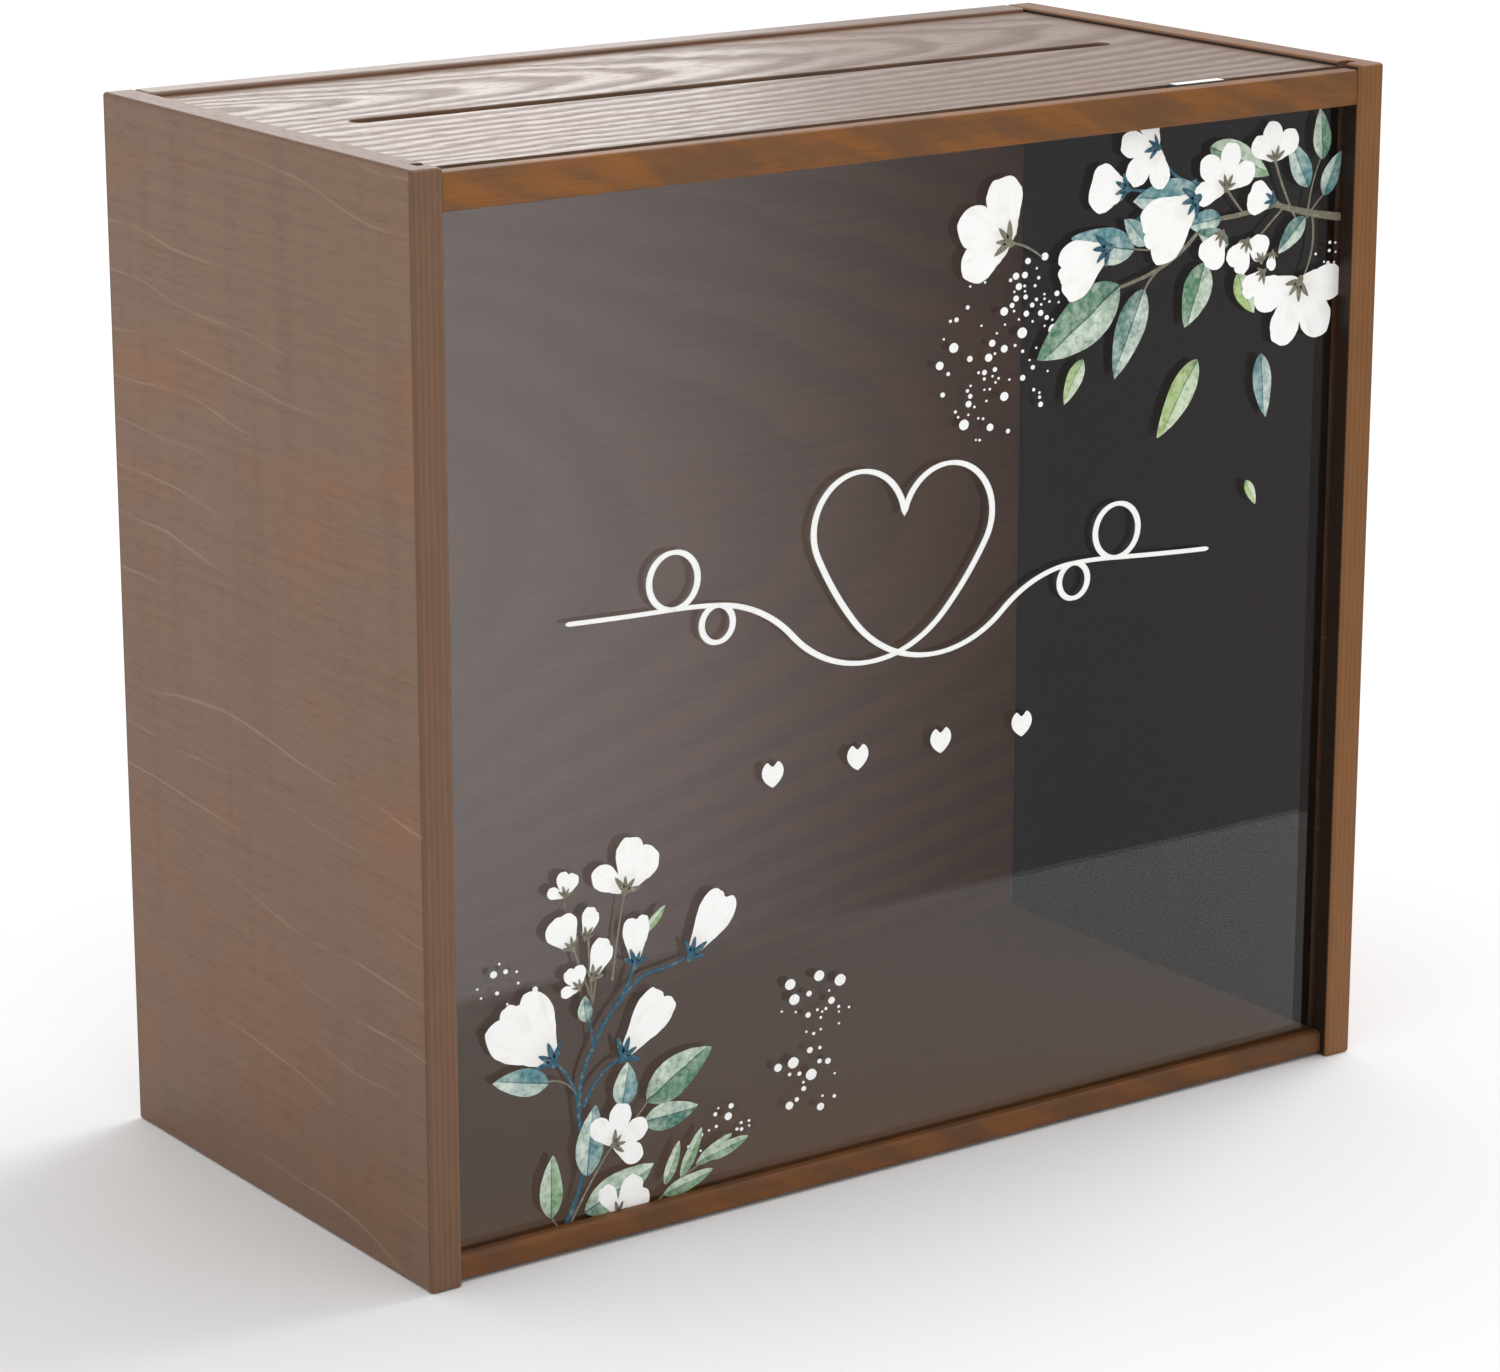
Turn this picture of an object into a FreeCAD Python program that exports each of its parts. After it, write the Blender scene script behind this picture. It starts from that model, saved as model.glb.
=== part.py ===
"""Wedding card box: a stained plywood case with a card slot in its top and a clear, printed front pane.

Frame: +X to the right as one faces the front, +Y to the back, +Z up, millimetres.
Origin: the middle of the footprint, on the surface that the box stands on.

The case is two side panels with a back, a top and a bottom panel between them, and a thin rail over
the front. Blind dowels, glued in, locate every joint. The pane slides in a groove that runs down both
side panels and along the bottom panel, and it lifts out through the gap behind the front rail.
"""
import FreeCAD, Part
import math
import os
import random

Vector = FreeCAD.Vector

# ---- Driving dimensions -----------------------------------------------------------------------
# Outside of the case.
box_width = 305.0
box_depth = 152.0
box_height = 281.0

# Boards.
side_thickness = 9.0
back_thickness = 9.0
top_thickness = 9.0
bottom_thickness = 6.0
edge_radius = 1.0        # softened edges of the side and back panels
top_recess = 1.25        # top panel's face below the rims of the sides
floor_gap = 1.2          # air under the bottom panel

# Front top rail.
rail_height = 9.5
rail_depth = 4.8
rail_setback = 0.6       # its face behind the sides' front edges
rail_radius = 0.6

# Bottom panel's front lip.
lip_setback = 2.4
lip_radius = 1.5

# Card slot, through the top panel.
slot_end_wood = 21.7     # wood left between its ends and the side panels
slot_width = 6.3
slot_offset = 2.9        # behind the middle of the box
slot_radius = 0.4        # softened top edge

# Clear pane and the groove that it slides in.
pane_thickness = 3.0
pane_clearance = 0.3     # air on each face of the pane
pane_end_gap = 0.5       # air between the pane's sides and the bottoms of their grooves
pane_edge_radius = 0.25
side_groove_depth = 4.0
bottom_groove_depth = 2.8
pane_top_drop = 1.8      # pane's top edge below the top panel's face
tab_width = 17.5         # pull tab on the pane's top edge
tab_inset = 50.75        # its middle, in from the right-hand side panel
tab_rise = 0.3           # its top over the top panel's face
tab_radius = 0.8
print_thickness = 0.1    # film of ink on the pane's front face

# Dowels.
dowel_radius = 2.0           # in the joints of the thick boards
thin_dowel_radius = 1.5      # in the bottom panel's joints
rail_dowel_radius = 1.25
dowel_depth_in_face = 5.0    # into the board that is drilled in its face
dowel_depth_in_edge = 10.0   # into the board that is drilled in its edge
glue_gap = 0.05              # around a dowel
dowel_end_gap = 0.5          # past each end of a dowel
dowels_in_side_joint = 3     # top and bottom panels into a side panel
dowels_in_back_joint = 3     # top and bottom panels into the back panel
dowels_in_back_edge = 4      # back panel into a side panel
side_joint_margin = 22.0     # first and last dowel, in from the ends of a joint
back_joint_margin = 44.0
back_edge_margin = 33.0

# Printed ornament. Places are in millimetres across and up from an anchor on the pane.
print_margin = 1.0       # bare edge of the pane
flourish_width = 1.7
flourish_middle = (-4.3, 151.5)   # middle of its two ends, from the box's middle and the bottom panel
flourish_tilt = -2.9
stem_width = 0.9
heart_size = 6.8
heart_lobes = 0.59       # side of a heart's square, as a share of its size
hearts_in_row = 4
heart_pitch = 27.0
heart_row_drop = 43.0    # the row of hearts below the middle of the flourish
leaf_belly = 0.45        # a leaf's widest place, as a share of its length
speck_gap = 0.5          # least gap between two specks
speck_least = 0.4        # radii of the smallest and largest specks
speck_most = 1.8
speck_rarity = 3         # the higher, the fewer large specks
speck_crowding = 0.7     # the higher, the closer to the middle of their oval

# ---- Levels and faces worked out from them ------------------------------------------------------
half_width = box_width / 2
inner_half_width = half_width - side_thickness
front_y = -box_depth / 2
back_y = box_depth / 2
back_inner_y = back_y - back_thickness
groove_front_y = front_y + rail_setback + rail_depth
groove_back_y = groove_front_y + pane_thickness + 2 * pane_clearance
pane_front_y = groove_front_y + pane_clearance
top_z = box_height - top_recess
top_under_z = top_z - top_thickness
rail_under_z = top_z - rail_height
bottom_z = floor_gap + bottom_thickness
groove_floor_z = bottom_z - bottom_groove_depth
pane_half_width = inner_half_width + side_groove_depth - pane_end_gap
pane_top_z = top_z - pane_top_drop
across = {"left": -1, "right": 1}
overshoot = 1.0          # of a cutter past the face that it enters by, and of a tab's root into its sheet
same_place = 1e-4        # two places this near are one


# ---- Helpers ------------------------------------------------------------------------------------
def block(low, high):
    """A box from its lowest to its highest corner."""
    size = [b - a for a, b in zip(low, high)]
    return Part.makeBox(*size, Vector(*low))


def edges_where(shape, test):
    """The shape's edges whose two ends both pass a test."""
    return [e for e in shape.Edges if all(test(v.Point) for v in e.Vertexes)]


def near(a, b):
    return abs(a - b) < same_place


def spread(low, high, count, margin):
    """Evenly spaced values from low + margin to high - margin."""
    step = (high - low - 2 * margin) / (count - 1)
    return [low + margin + i * step for i in range(count)]


def rod(point, axis, radius, behind, ahead):
    """A cylinder along axis, from behind the point to ahead of it."""
    start = point - axis * behind
    return Part.makeCylinder(radius, behind + ahead, start, axis)


class DowelJoint:
    """Dowels across one joint. axis points from the board drilled in its edge into the other's face."""

    def __init__(self, points, axis, radius):
        self.points = points
        self.axis = axis
        self.radius = radius

    def dowels(self):
        return [rod(p, self.axis, self.radius, dowel_depth_in_edge, dowel_depth_in_face)
                for p in self.points]

    def holes(self):
        behind = dowel_depth_in_edge + dowel_end_gap
        ahead = dowel_depth_in_face + dowel_end_gap
        return [rod(p, self.axis, self.radius + glue_gap, behind, ahead) for p in self.points]


def drill(board, joints):
    holes = [hole for joint in joints for hole in joint.holes()]
    return board.cut(Part.makeCompound(holes))


# ---- Dowel joints -------------------------------------------------------------------------------
def make_joints():
    joints = {}
    panel_ys = spread(groove_back_y, back_inner_y, dowels_in_side_joint, side_joint_margin)
    panel_xs = spread(-inner_half_width, inner_half_width, dowels_in_back_joint, back_joint_margin)
    edge_zs = spread(0, box_height, dowels_in_back_edge, back_edge_margin)
    top_mid_z = top_z - top_thickness / 2
    bottom_mid_z = floor_gap + bottom_thickness / 2
    back_mid_y = back_y - back_thickness / 2
    rail_mid = (groove_front_y - rail_depth / 2, top_z - rail_height / 2)
    for name, sign in across.items():
        axis = Vector(sign, 0, 0)
        x = sign * inner_half_width
        joints["top_dowels_" + name] = DowelJoint(
            [Vector(x, y, top_mid_z) for y in panel_ys], axis, dowel_radius)
        joints["bottom_dowels_" + name] = DowelJoint(
            [Vector(x, y, bottom_mid_z) for y in panel_ys], axis, thin_dowel_radius)
        joints["back_dowels_" + name] = DowelJoint(
            [Vector(x, back_mid_y, z) for z in edge_zs], axis, dowel_radius)
        joints["rail_dowel_" + name] = DowelJoint([Vector(x, *rail_mid)], axis, rail_dowel_radius)
    axis = Vector(0, 1, 0)
    joints["top_dowels_back"] = DowelJoint(
        [Vector(x, back_inner_y, top_mid_z) for x in panel_xs], axis, dowel_radius)
    joints["bottom_dowels_back"] = DowelJoint(
        [Vector(x, back_inner_y, bottom_mid_z) for x in panel_xs], axis, thin_dowel_radius)
    return joints


# ---- Boards -------------------------------------------------------------------------------------
def side_panel(name, joints):
    """Full height and depth, with all its edges softened and the pane's groove open at the top."""
    sign = across[name]
    inner, outer = sorted((sign * inner_half_width, sign * half_width))
    board = block((inner, front_y, 0), (outer, back_y, box_height))
    board = board.makeFillet(edge_radius, board.Edges)
    a, b = sorted((sign * (inner_half_width - overshoot), sign * (inner_half_width + side_groove_depth)))
    groove = block((a, groove_front_y, groove_floor_z), (b, groove_back_y, box_height + overshoot))
    mine = [joint for key, joint in joints.items() if key.endswith(name)]
    return drill(board.cut(groove), mine)


def back_panel(joints):
    board = block((-inner_half_width, back_inner_y, 0), (inner_half_width, back_y, box_height))
    board = board.makeFillet(edge_radius, board.Edges)
    mine = [joint for key, joint in joints.items() if key.startswith("back") or key.endswith("back")]
    return drill(board, mine)


def slot_cutter():
    """The card slot's round-ended outline, cut right through the top panel."""
    radius = slot_width / 2
    straight = inner_half_width - slot_end_wood - radius
    low = top_under_z - overshoot
    depth = top_thickness + 2 * overshoot
    middle = block((-straight, slot_offset - radius, low), (straight, slot_offset + radius, low + depth))
    ends = [Part.makeCylinder(radius, depth, Vector(sign * straight, slot_offset, low)) for sign in (-1, 1)]
    return middle.multiFuse(ends).removeSplitter()


def top_panel(joints):
    board = block((-inner_half_width, groove_back_y, top_under_z), (inner_half_width, back_inner_y, top_z))
    board = board.cut(slot_cutter())
    rim = edges_where(board, lambda p: near(p.z, top_z) and abs(p.x) < inner_half_width - slot_end_wood / 2)
    board = board.makeFillet(slot_radius, rim)
    mine = [joint for key, joint in joints.items() if key.startswith("top")]
    return drill(board, mine)


def bottom_panel(joints):
    """One board, with the pane's groove near its front edge and a rounded lip in front of that."""
    lip_y = front_y + lip_setback
    board = block((-inner_half_width, lip_y, floor_gap), (inner_half_width, back_inner_y, bottom_z))
    nose = edges_where(board, lambda p: near(p.y, lip_y) and near(p.z, bottom_z))
    board = board.makeFillet(lip_radius, nose)
    groove = block((-half_width, groove_front_y, groove_floor_z),
                   (half_width, groove_back_y, bottom_z + overshoot))
    mine = [joint for key, joint in joints.items() if key.startswith("bottom")]
    return drill(board.cut(groove), mine)


def front_top_rail(joints):
    rail = block((-inner_half_width, front_y + rail_setback, rail_under_z),
                 (inner_half_width, groove_front_y, top_z))
    along = [e for e in rail.Edges if near(e.Length, 2 * inner_half_width)]
    rail = rail.makeFillet(rail_radius, along)
    mine = [joint for key, joint in joints.items() if key.startswith("rail")]
    return drill(rail, mine)


# ---- Clear pane ---------------------------------------------------------------------------------
def front_pane():
    """A flat sheet in the grooves, with a short pull tab that stands up to the top panel's face."""
    pane_back_y = pane_front_y + pane_thickness
    tab_middle = inner_half_width - tab_inset
    sheet = block((-pane_half_width, pane_front_y, groove_floor_z),
                  (pane_half_width, pane_back_y, pane_top_z))
    tab = block((tab_middle - tab_width / 2, pane_front_y, pane_top_z - overshoot),
                (tab_middle + tab_width / 2, pane_back_y, top_z + tab_rise))
    corners = edges_where(tab, lambda p: near(p.z, top_z + tab_rise))
    corners = [e for e in corners if near(e.Length, pane_thickness)]
    pane = sheet.fuse(tab.makeFillet(tab_radius, corners)).removeSplitter()
    flat = edges_where(pane, lambda p: near(p.y, pane_front_y)) + edges_where(
        pane, lambda p: near(p.y, pane_back_y))
    return pane.makeFillet(pane_edge_radius, flat)


# ---- Printed ornament: drawn flat as x across and y up, then stood on the pane --------------------
def film(outline):
    """The film of ink inside a closed outline."""
    return Part.Face(outline).extrude(Vector(0, 0, print_thickness))


def disc(x, y, radius):
    return Part.makeCylinder(radius, print_thickness, Vector(x, y, 0))


def petal(x, y, length, width, angle):
    """An ellipse that starts at a point and reaches out along angle."""
    turn = math.radians(angle)
    centre = Vector(x + math.cos(turn) * length / 2, y + math.sin(turn) * length / 2, 0)
    ellipse = film(Part.Wire(Part.Ellipse(Vector(), length / 2, width / 2).toShape()))
    ellipse.rotate(Vector(), Vector(0, 0, 1), angle)
    ellipse.translate(centre)
    return ellipse


def leaf(x, y, length, width, angle):
    """Two arcs from the leaf's foot to its tip."""
    foot, tip = Vector(), Vector(length, 0, 0)
    upper = Part.Arc(foot, Vector(length * leaf_belly, width / 2, 0), tip).toShape()
    lower = Part.Arc(tip, Vector(length * leaf_belly, -width / 2, 0), foot).toShape()
    shape = film(Part.Wire([upper, lower]))
    shape.rotate(Vector(), Vector(0, 0, 1), angle)
    shape.translate(Vector(x, y, 0))
    return shape


def flower(kind, x, y, length, angle):
    """The petals of a flower, each turned from the flower's own direction."""
    return [petal(x, y, length * long, length * wide, angle + fan) for fan, long, wide in flower_kinds[kind]]


def heart(x, y, size):
    """Two discs on the upper sides of a square that stands on its corner."""
    side = size * heart_lobes
    square = Part.makeBox(side, side, print_thickness)
    square.rotate(Vector(), Vector(0, 0, 1), 45)
    square.translate(Vector(x, y - size / 2, 0))
    reach = side / math.sqrt(8)
    lobes_y = y - size / 2 + side * math.sqrt(2) / 2 + reach
    lobes = [disc(x + sign * reach, lobes_y, side / 2) for sign in (-1, 1)]
    return square.multiFuse(lobes).removeSplitter()


def pen_places(x, y, heading, steps):
    """Where a pen is before its first step and after each: x, y and heading in degrees."""
    places = [(x, y, heading)]
    for length, turn in steps:
        direction = math.radians(heading)
        if turn and length:
            radius = length / math.radians(turn)
            later = math.radians(heading + turn)
            x += radius * (math.sin(later) - math.sin(direction))
            y += radius * (math.cos(direction) - math.cos(later))
        else:
            x += length * math.cos(direction)
            y += length * math.sin(direction)
        heading += turn
        places.append((x, y, heading))
    return places


def pen_line(x, y, heading, steps, width):
    """A pen stroke as bands. A step is a length and the angle it turns through; no length is a corner."""
    places = pen_places(x, y, heading, steps)
    bands = [disc(*places[0][:2], width / 2), disc(*places[-1][:2], width / 2)]
    up = Vector(0, 0, 1)
    for (length, turn), (x, y, heading) in zip(steps, places):
        if not length:
            bands.append(disc(x, y, width / 2))
        elif not turn:
            band = Part.makeBox(length, width, print_thickness, Vector(0, -width / 2, 0))
            band.rotate(Vector(), up, heading)
            band.translate(Vector(x, y, 0))
            bands.append(band)
        else:
            radius = length / math.radians(abs(turn))
            side = math.copysign(1, turn)
            direction = math.radians(heading)
            leftward = Vector(-math.sin(direction), math.cos(direction), 0)
            centre = Vector(x, y, 0) + leftward * side * radius
            band = Part.makeCylinder(radius + width / 2, print_thickness, centre, up, abs(turn))
            band = band.cut(Part.makeCylinder(radius - width / 2, print_thickness, centre, up, abs(turn)))
            band.rotate(centre, up, heading - 90 if turn > 0 else heading + 90 + turn)
            bands.append(band)
    return bands


def specks(seed, count, middle, reach):
    """Specks of ink scattered over an oval, none touching another."""
    dice = random.Random(seed)
    placed = []
    while len(placed) < count:
        angle = dice.uniform(0, 2 * math.pi)
        out = dice.random() ** speck_crowding
        x = middle[0] + out * reach[0] * math.cos(angle)
        y = middle[1] + out * reach[1] * math.sin(angle)
        radius = speck_least + (speck_most - speck_least) * dice.random() ** speck_rarity
        if all(math.hypot(x - a, y - b) > radius + r + speck_gap for a, b, r in placed):
            placed.append((x, y, radius))
    return Part.makeCompound([disc(*speck) for speck in placed])


def merged(shapes):
    return shapes[0].multiFuse(shapes[1:]).removeSplitter()


def on_pane(shape, anchor):
    """Stand a flat drawing on the pane's front face, with its zero at an anchor (x, z), and trim it."""
    stood = shape.copy()
    stood.rotate(Vector(), Vector(1, 0, 0), 90)
    stood.translate(Vector(anchor[0], pane_front_y, anchor[1]))
    half = pane_half_width - print_margin
    return stood.common(block((-half, pane_front_y - print_thickness, groove_floor_z + print_margin),
                              (half, pane_front_y, pane_top_z - print_margin)))


# One stroke: a long line in, two curls and the left half of a heart. The right half mirrors it.
flourish_half = [(33, 2), (46, 360), (14, -6), (30, -360), (26, -40), (54, 92), (22, 14), (50, 198)]

# A kind of flower is its petals: each one's turn, and its length and width as shares of the flower's.
flower_kinds = {
    "tulip": [(0, 0.93, 0.4), (8, 0.97, 0.4), (-9, 1.0, 0.38)],
    "cup": [(0, 0.9, 0.5), (17, 1.0, 0.5), (-16, 0.93, 0.46), (2, 0.97, 0.36)],
    "open": [(76, 0.84, 0.5), (-20, 0.95, 0.64), (15, 1.0, 0.62)],
    "star": [(108, 0.9, 0.56), (-54, 0.92, 0.56), (54, 1.0, 0.62), (0, 1.0, 0.58)],
    "ball": [(11, 1.0, 0.78), (-12, 0.95, 0.72)],
    "bud": [(6, 1.0, 0.56), (-8, 0.9, 0.5)],
    "wide": [(-52, 0.96, 0.66), (50, 0.92, 0.6), (4, 1.0, 0.66)],
}

# Stems are pen strokes, leaves are foot, length, width and direction, and flowers are kind, foot, length
# and direction. All are measured from a corner of the opening in front of the pane.
lower_stems = [
    (34, -1, 60, [(15, 34), (20, -6), (19, -32), (13, -10), (7, 30)]),
    (37, 32, 100, [(13, 34)]),
    (38, 30, 60, [(18, -36)]),
    (50, 57, 26, [(23, -12)]),
    (51, 60, 92, [(25, -10)]),
    (43, 57, 112, [(17, 4)]),
    (43, 57, 94, [(18, -2)]),
    (43, 50, 90, [(14, 0)]),
    (36, 0, 58, [(22, -14)]),
    (50, 19, 40, [(13, 0)]),
    (62, -1, 42, [(21, -24)]),
]
lower_leaves = [
    (29, 39, 17, 7.5, 167), (41, 12, 19, 8.5, 84), (52, 28, 12, 7.5, 80), (60, 28, 23, 11, 30),
    (59, 22, 17, 7.5, 2), (30, 3, 17, 7, 90), (41, 2, 23, 10, 20), (59, 73, 9, 2.6, 42),
    (65, 4, 12, 3.6, 66), (70, 5, 14, 3.6, 60), (75, 7, 13, 3.8, 27), (78, 8, 14, 4, 12),
    (65, 1, 16, 4.4, 12), (41, 53, 7, 4.5, 96),
]
lower_flowers = [
    ("cup", 31, 44, 23, 128), ("tulip", 52, 41, 20, 47), ("tulip", 73, 64, 19, 52), ("tulip", 56, 65, 13, 88),
    ("open", 53, 85, 14, 66), ("open", 35, 87, 6.5, 80), ("ball", 37, 73, 10, 118), ("bud", 41, 75, 8, 70),
    ("bud", 43, 64, 10.5, 66), ("open", 39, 62, 6.5, 110), ("star", 49, 18, 11, 22), ("open", 50, -1, 11, 40),
]

upper_stems = [
    (1, -31, 170, [(26, -14)]),
    (-22, -25, 182, [(26, 26), (20, 0), (14, -24)]),
    (-63, -40, 222, [(8, 10)]),
    (-53, -34, 176, [(20, 4)]),
    (-40, -17, 184, [(16, -20), (14, -40)]),
    (-52, -16, 196, [(12, -16), (12, -10)]),
    (-62, -18, 226, [(23, -24)]),
    (-24, -13, 278, [(22, 16)]),
    (-41, -19, 300, [(10, 0)]),
    (-10, -30, 278, [(18, -24)]),
    (-20, -26, 216, [(22, 6)]),
    (-12, -30, 88, [(17, -14)]),
    (-12, -30, 46, [(8.5, 0)]),
    (-114, -26, -6, [(12, -34)]),
]
upper_leaves = [
    (-7, -14, 14, 6.4, 94), (-6, -24, 13, 6, 66), (-12, -21, 15, 7, 118), (-46, -8, 23, 9, -22),
    (-13, -30, 13, 6, 222), (-78, -42, 32, 15, 214), (-69, -44, 25, 10, 246), (-48, -39, 18, 10, 252),
    (-36, -43, 13, 6.5, 297), (-73, -32, 22, 10, 169), (-50, -21, 24, 11, 174), (-43, -27, 12, 6.5, 184),
    (-68, -31, 11, 6, 135), (-40, -34, 12, 6, 160),
]
upper_flowers = [
    ("star", -65, -6, 12.5, 168), ("ball", -75, -16, 13, 172), ("cup", -81, -31, 18, 200),
    ("cup", -51, -21, 21, 210), ("star", -41, -19, 12, 80), ("wide", -24, -13, 10.5, 96),
    ("ball", -24, -24, 9.5, 166), ("ball", -42, -31, 10, 238), ("open", -33, -34, 9, 240),
    ("ball", -28, -40, 7.5, 100), ("bud", -24, -38, 5, 262), ("star", -14, -47, 18, 246),
    ("bud", -27, -43, 9, 214), ("wide", -114, -26, 18, 152),
]
drifting_leaves = [
    (-89, -60, 13, 5.4, 240), (-50, -65, 24, 8.6, 238), (-27, -66, 18, 6.6, 276), (-31, -100, 8, 3.2, 300),
]

# A patch of specks is its seed, how many, the middle of its oval and the oval's half sizes.
lower_patch = (7, 38, (112, 34), (13, 22))
upper_patch = (11, 60, (-122, -60), (15, 20))


def flourish():
    """The whole stroke, mirrored about its heart's cusp and centred on the middle of its two ends."""
    corner = -2 * sum(turn for length, turn in flourish_half) % 360
    steps = flourish_half + [(0, corner)] + flourish_half[::-1]
    end_x, end_y, heading = pen_places(0, 0, flourish_tilt, steps)[-1]
    return merged(pen_line(-end_x / 2, -end_y / 2, flourish_tilt, steps, flourish_width))


def printed_nodes():
    lower = (-inner_half_width, bottom_z)
    upper = (inner_half_width, rail_under_z)
    nodes = {}
    middle = (flourish_middle[0], bottom_z + flourish_middle[1])
    nodes["flourish_print"] = on_pane(flourish(), middle)
    row = [heart(heart_pitch * (i - (hearts_in_row - 1) / 2), 0, heart_size) for i in range(hearts_in_row)]
    nodes["heart_row_print"] = on_pane(Part.makeCompound(row), (middle[0], middle[1] - heart_row_drop))
    for name, anchor, stems, leaves, flowers in (
            ("lower_bouquet_print", lower, lower_stems, lower_leaves, lower_flowers),
            ("upper_branch_print", upper, upper_stems, upper_leaves, upper_flowers)):
        shapes = [band for x, y, h, steps in stems for band in pen_line(x, y, h, steps, stem_width)]
        shapes += [leaf(*row) for row in leaves]
        shapes += [part for row in flowers for part in flower(*row)]
        nodes[name] = on_pane(merged(shapes), anchor)
    drifting = [leaf(*row) for row in drifting_leaves]
    nodes["drifting_leaves_print"] = on_pane(Part.makeCompound(drifting), upper)
    nodes["lower_speckle_print"] = on_pane(specks(*lower_patch), lower)
    nodes["upper_speckle_print"] = on_pane(specks(*upper_patch), upper)
    return nodes


# ---- Whole box ----------------------------------------------------------------------------------
def build():
    joints = make_joints()
    nodes = {
        "left_side_panel": side_panel("left", joints),
        "right_side_panel": side_panel("right", joints),
        "back_panel": back_panel(joints),
        "top_panel": top_panel(joints),
        "bottom_panel": bottom_panel(joints),
        "front_top_rail": front_top_rail(joints),
        "front_pane": front_pane(),
    }
    for name, joint in joints.items():
        nodes[name] = Part.makeCompound(joint.dowels())
    nodes.update(printed_nodes())
    return nodes


def main():
    os.makedirs("parts", exist_ok=True)
    for name, shape in build().items():
        shape.exportStep("parts/" + name + ".step")
        box = shape.BoundBox
        print(f"{name:24s} solids {len(shape.Solids):3d}  volume {shape.Volume / 1000:8.2f} cm3  "
              f"x {box.XMin:8.2f} {box.XMax:8.2f}  y {box.YMin:7.2f} {box.YMax:7.2f}  "
              f"z {box.ZMin:7.2f} {box.ZMax:7.2f}  valid {shape.isValid()}")


main()
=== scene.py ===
# %% [markdown]
# # Finishing a wedding card box
#
# The box is a stained plywood case with a slot in its top and a clear pane in front. The pane carries a
# printed spray of white flowers and slides up out of its grooves. The boards and the pane arrive as exact
# CAD meshes, so this lesson has three jobs: to light the box, to finish its surfaces, and to draw the print.
#
# Everything is in metres in the frame of the model: +X right, +Y back, +Z up, zero on the floor under the
# middle of the box. Sizes that a maker would give in millimetres are written in millimetres, times MM.

# %% Load the frame
import math
import random

import bmesh
import bpy
from mathutils import Matrix, Vector


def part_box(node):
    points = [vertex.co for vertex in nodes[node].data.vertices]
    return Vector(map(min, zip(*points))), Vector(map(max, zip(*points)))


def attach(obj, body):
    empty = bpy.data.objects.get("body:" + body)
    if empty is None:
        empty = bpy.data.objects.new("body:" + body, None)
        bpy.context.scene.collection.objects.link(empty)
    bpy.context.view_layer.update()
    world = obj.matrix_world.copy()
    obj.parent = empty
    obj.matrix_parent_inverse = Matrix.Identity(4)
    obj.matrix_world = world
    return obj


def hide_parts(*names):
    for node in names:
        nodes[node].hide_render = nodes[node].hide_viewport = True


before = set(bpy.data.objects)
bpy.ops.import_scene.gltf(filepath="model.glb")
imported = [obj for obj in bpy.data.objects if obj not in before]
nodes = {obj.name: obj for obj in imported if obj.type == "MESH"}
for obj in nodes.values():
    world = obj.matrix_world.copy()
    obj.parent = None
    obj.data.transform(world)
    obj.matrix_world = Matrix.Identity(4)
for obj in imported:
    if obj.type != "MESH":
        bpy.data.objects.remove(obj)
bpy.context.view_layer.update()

MM = 0.001

# %% [markdown]
# ## Camera
#
# A long lens from a little above and to the left shows the front, the left side and the top at once. The
# camera could be aimed by a Track To constraint, but a fixed place and turn are easier to repeat.

# %% Camera
camera_place = (-0.7213, -1.0133, 0.4627)
camera_tilt = math.radians(74.38)
camera_turn = math.radians(-35.37)
bpy.ops.object.select_all(action="DESELECT")
bpy.ops.object.camera_add(location=camera_place, rotation=(camera_tilt, 0, camera_turn))
camera = bpy.context.object
camera.data.sensor_width = 36
camera.data.lens = 114
bpy.context.scene.camera = camera
print("camera", [round(v, 3) for v in camera.location])

# %% [markdown]
# ## Studio
#
# Product shots are taken on a white sweep in a white room. The bright world is that room: it wraps the box
# in light with no hard shadow. One very broad sun from the right and a little behind throws the soft
# shadow to the left. A low card of light far behind the box shows only in gloss, as the sheen on the top.


# %% Studio
def softbox(name, place, aim, size, power):
    """A square area lamp that faces a point. It lights things and shows in gloss, not to the camera."""
    bpy.ops.object.select_all(action="DESELECT")
    bpy.ops.object.light_add(type="AREA", location=place)
    lamp = bpy.context.object
    lamp.name = name
    lamp.data.size = size
    lamp.data.energy = power
    lamp.rotation_euler = (Vector(aim) - Vector(place)).to_track_quat("-Z", "Y").to_euler()
    lamp.visible_camera = False
    return lamp


room_brightness = 0.92
sun_power = 1.3
sun_width = math.radians(36)
sun_place = Vector((1.0, 0.16, 0.95))
sheen_place = (0.62, 1.45, 0.62)
sheen_aim = (-0.08, 0.0, 0.28)
sheen_size = 0.7
sheen_power = 2.7

scene = bpy.context.scene
scene.view_settings.view_transform = "Standard"
scene.world = bpy.data.worlds.new("studio")
scene.world.use_nodes = True
sky = scene.world.node_tree.nodes["Background"]
sky.inputs["Color"].default_value = (1, 1, 1, 1)
sky.inputs["Strength"].default_value = room_brightness
bpy.ops.object.select_all(action="DESELECT")
bpy.ops.object.light_add(type="SUN", location=sun_place)
sun = bpy.context.object
sun.name = "broad_sun"
sun.data.energy = sun_power
sun.data.angle = sun_width
sun.rotation_euler = (-sun_place).to_track_quat("-Z", "Y").to_euler()
sheen = softbox("sheen_card", sheen_place, sheen_aim, sheen_size, sheen_power)
sheen.visible_diffuse = False


# %% [markdown]
# ## Shader sums
#
# A wood or an ink is a sum of noises, and a node tree hides such sums in dozens of boxes. This small class
# wraps one output socket and overloads the operators, so that a pattern reads as a line of Python.


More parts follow.
